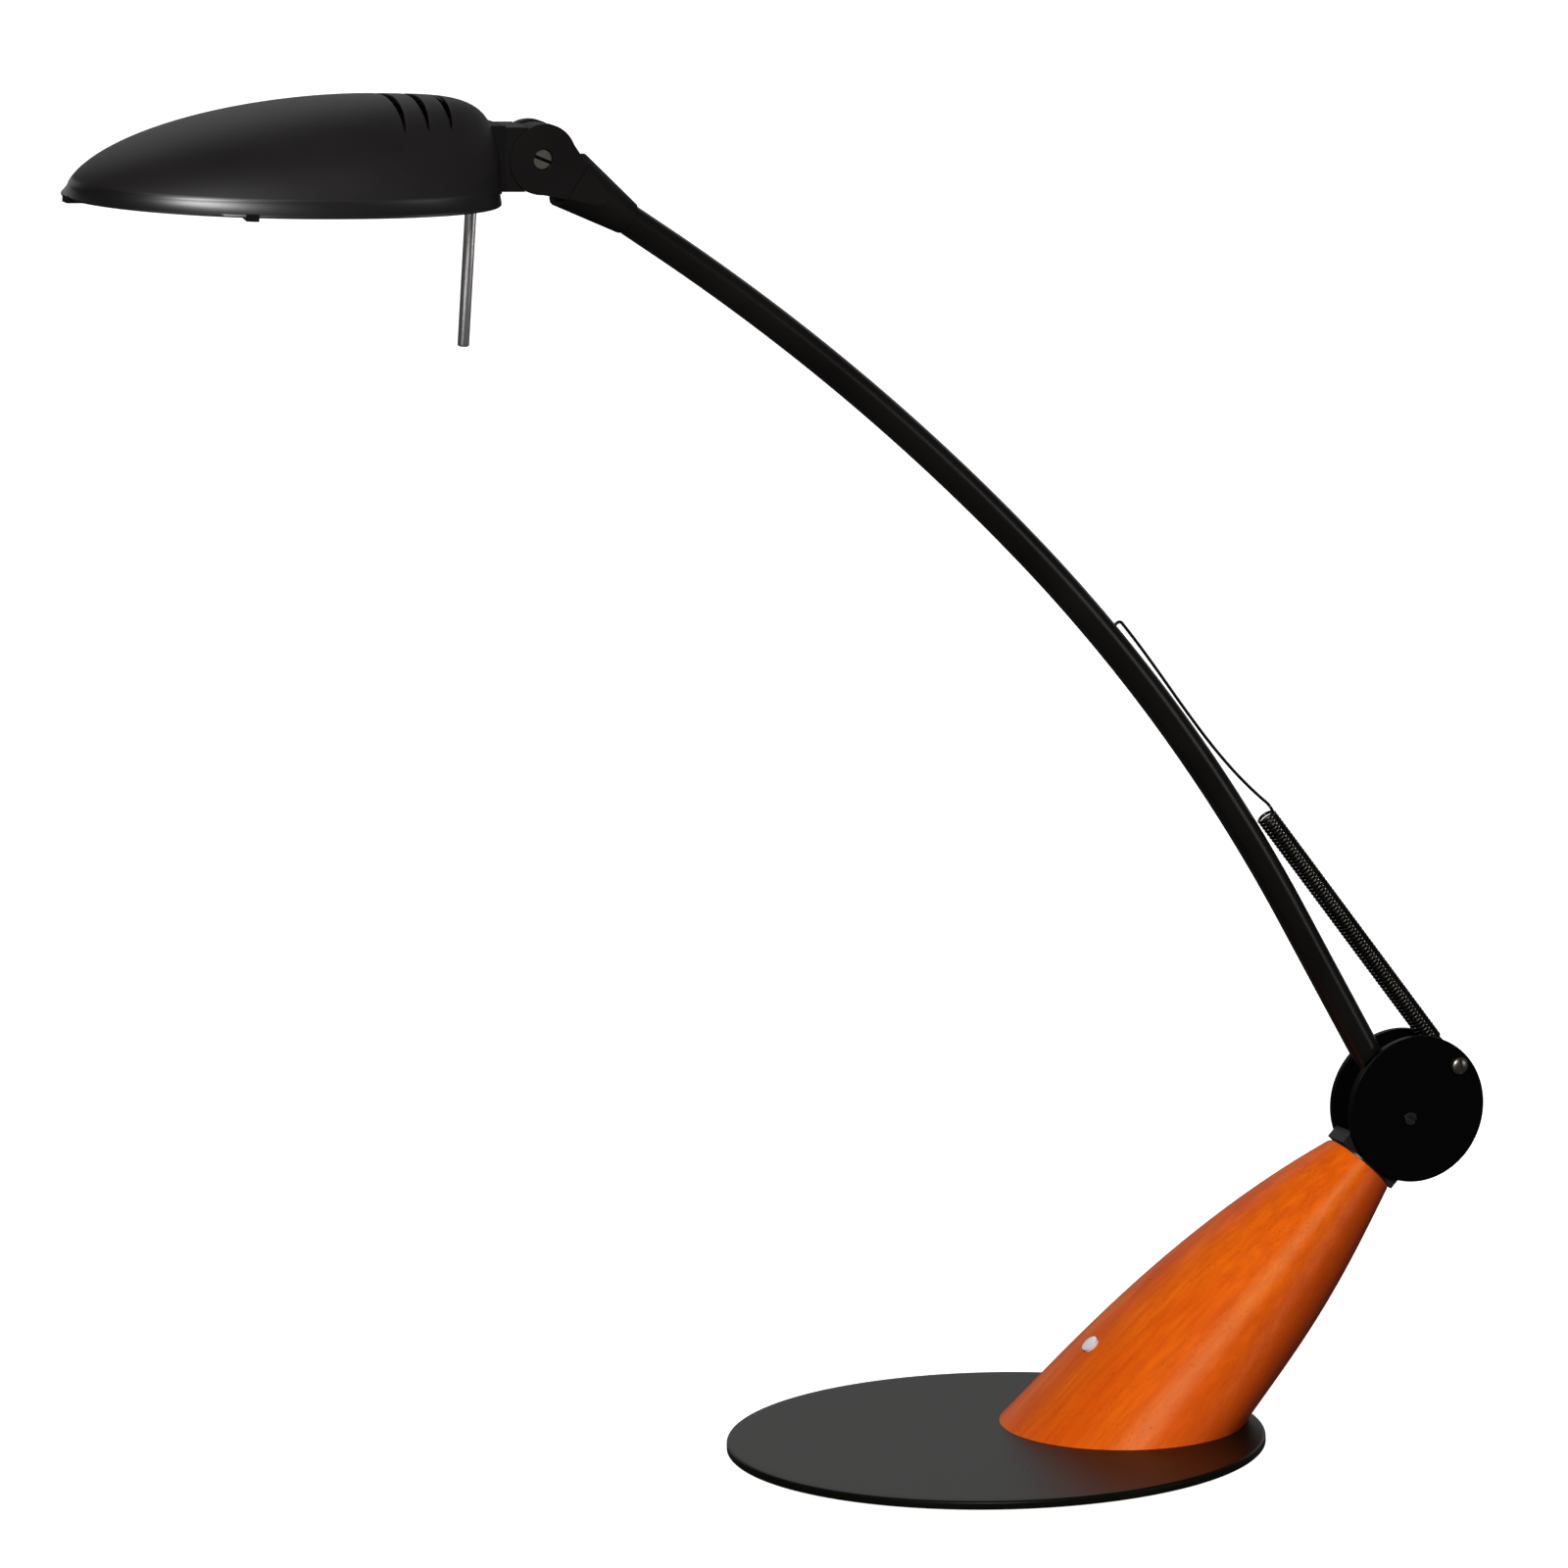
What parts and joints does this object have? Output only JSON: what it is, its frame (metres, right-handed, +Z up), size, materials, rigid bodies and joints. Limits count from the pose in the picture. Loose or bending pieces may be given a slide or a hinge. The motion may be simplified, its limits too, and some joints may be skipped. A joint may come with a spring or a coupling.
{
  "type": "desk lamp",
  "caption": "Desk lamp with a leaning wooden foot on a round plate, a curved spring-balanced arm and a tilting oval metal shade with vent slots and a handle rod.",
  "frame": {"origin": "middle of the resting face, under the centre of the round base plate", "axes": "+Z up, -X towards the shade's nose, +X towards the pivot discs, +Y to the rear of the lamp as the picture shows it"},
  "size_m": [0.5835, 0.21, 0.5535],
  "materials": {
    "pad": "thin black felt",
    "plate_paint": "satin dark paint on steel",
    "stained_wood": "beech stained orange cherry, satin lacquer",
    "screw_steel": "zinc-plated steel",
    "core_iron": "stacked iron sheets",
    "copper": "wound enamelled wire",
    "black_plastic": "moulded black plastic",
    "bright_steel": "polished steel",
    "black_metal": "satin black paint",
    "dull_nickel": "dull nickel",
    "nylon": "natural nylon",
    "spring_steel": "dark oiled spring wire",
    "black_rubber": "soft black rubber",
    "shade_paint": "fine textured near-black paint",
    "bare_aluminium": "bare and polished aluminium",
    "ceramic": "pale glazed ceramic",
    "quartz": "clear quartz",
    "clear_glass": "clear toughened glass"
  },
  "bodies": {
    "base": {"base_pad": "pad", "base_plate": "plate_paint", "foot_screws": "screw_steel", "foot": "stained_wood", "transformer_core": "core_iron", "transformer_coil": "copper", "transformer_screws": "screw_steel", "switch_body": "black_plastic", "cord_gland": "black_plastic", "tie_tube": "screw_steel", "top_collar": "black_metal", "pivot_bracket": "black_metal", "front_disc": "black_metal", "rear_disc": "black_metal", "disc_rivets": "black_metal", "pivot_bolt": "dull_nickel", "pivot_nut": "dull_nickel", "pivot_washers": "nylon", "anchor_screw": "dull_nickel", "anchor_nut": "dull_nickel", "balance_spring": "spring_steel"},
    "button": {"switch_button": "bright_steel"},
    "arm": {"arm_eye": "black_metal", "arm_tube": "black_metal", "arm_sleeve": "black_metal", "head_fork": "black_metal", "hinge_screw": "dull_nickel", "hinge_nut": "dull_nickel", "hinge_washers": "nylon"},
    "head": {"head_neck": "black_metal", "neck_gasket": "black_rubber", "neck_screws": "screw_steel", "shade": "shade_paint", "shade_bracket": "bare_aluminium", "handle_rod": "bright_steel", "reflector": "bare_aluminium", "lamp_holder": "ceramic", "holder_post": "bare_aluminium", "bulb": "quartz", "front_glass": "clear_glass", "glass_clips": "black_metal"}
  },
  "joints": [
    {"name": "arm_pivot", "type": "hinge", "parent": "base", "child": "arm", "pos_m": [0.17647, 0, 0.11317], "axis": [0, -1, 0], "range_deg": [0, 40], "deforming": ["balance_spring"]},
    {"name": "head_tilt", "type": "hinge", "parent": "arm", "child": "head", "pos_m": [-0.18327, 0, 0.52372], "axis": [0, -1, 0], "range_deg": [-50, 20]},
    {"name": "switch_press", "type": "slide", "parent": "base", "child": "button", "axis": [0.658, 0, -0.753], "range_m": [0, 0.0012], "stiffness_N_per_m": 800, "springref_m": -0.0015}
  ]
}
